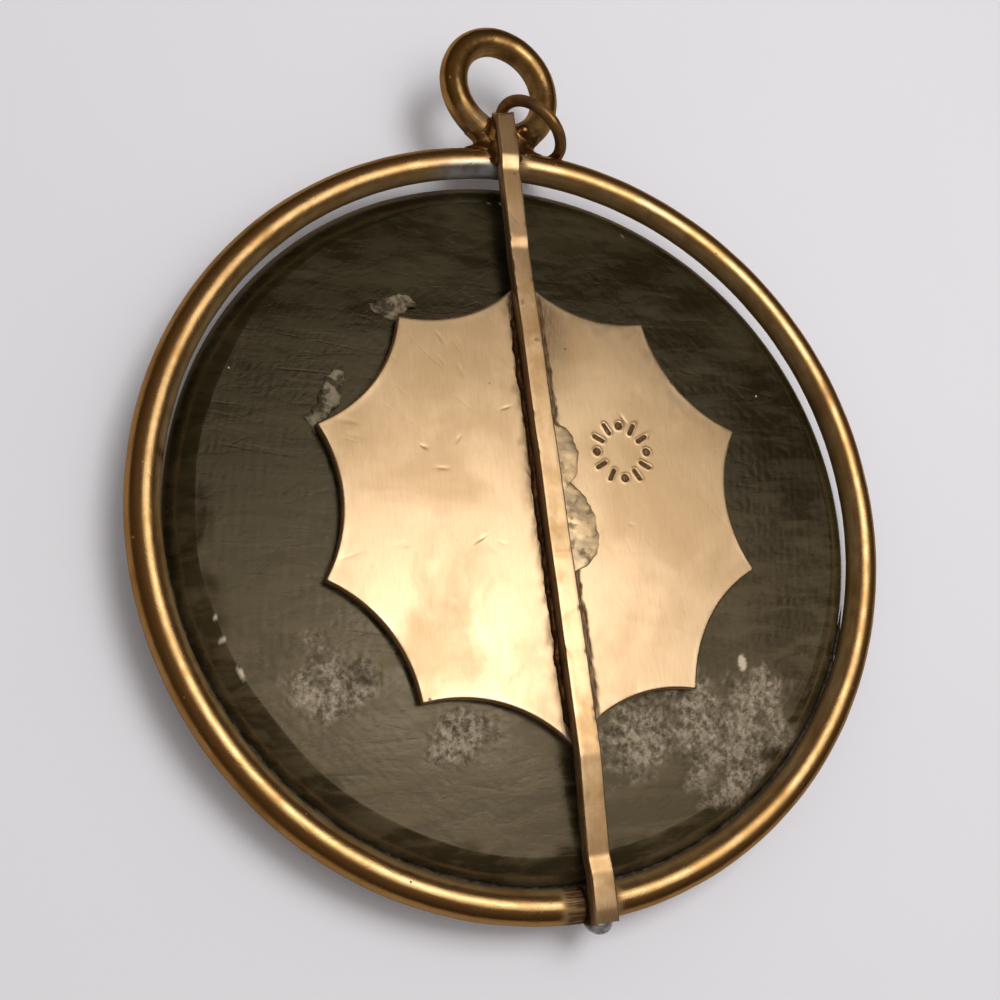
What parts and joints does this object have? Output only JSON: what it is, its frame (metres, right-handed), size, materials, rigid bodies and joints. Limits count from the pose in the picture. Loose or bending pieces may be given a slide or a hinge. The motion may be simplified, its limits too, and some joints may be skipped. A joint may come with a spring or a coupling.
{
  "type": "round stone pendant",
  "caption": "Round stone disc held in a wire hoop by a star-shaped back plate and a bent strap, with a fixed bail ring for a chain and a loose jump ring; worn as a pendant.",
  "frame": {"origin": "centre of the stone's flat front face, on which the pendant rests", "axes": "+Z out of the pendant's back, +Y towards the bail ring, +X to the right as seen from the back"},
  "size_m": [0.05, 0.0596, 0.0065],
  "materials": {
    "stone": "gloss",
    "cement": "matte",
    "plate_brass": "satin",
    "strap_brass": "satin",
    "wire_brass": "gloss",
    "bail_brass": "gloss",
    "ring_brass": "gloss",
    "grey_solder": "satin",
    "brown_solder": "satin"
  },
  "bodies": {
    "pendant": {"stone_disc": "stone", "cement_bed": "cement", "cement_residue_upper": "cement", "cement_residue_left": "cement", "back_plate": "plate_brass", "back_strap": "strap_brass", "hoop": "wire_brass", "hoop_seam_solder": "grey_solder", "bail_ring": "bail_brass", "bail_solder": "brown_solder", "strap_top_solder": "grey_solder", "strap_foot_solder": "grey_solder", "strap_side_solder": "brown_solder", "solder_patch": "grey_solder"},
    "loose_ring": {"jump_ring": "ring_brass"}
  },
  "joints": [
    {"name": "ring_travel", "type": "hinge", "parent": "pendant", "child": "loose_ring", "pos_m": [0, 0.02946, 0.00425], "axis": [0.1392, -0.1104, 0.9841], "range_deg": [-1, 273]}
  ]
}
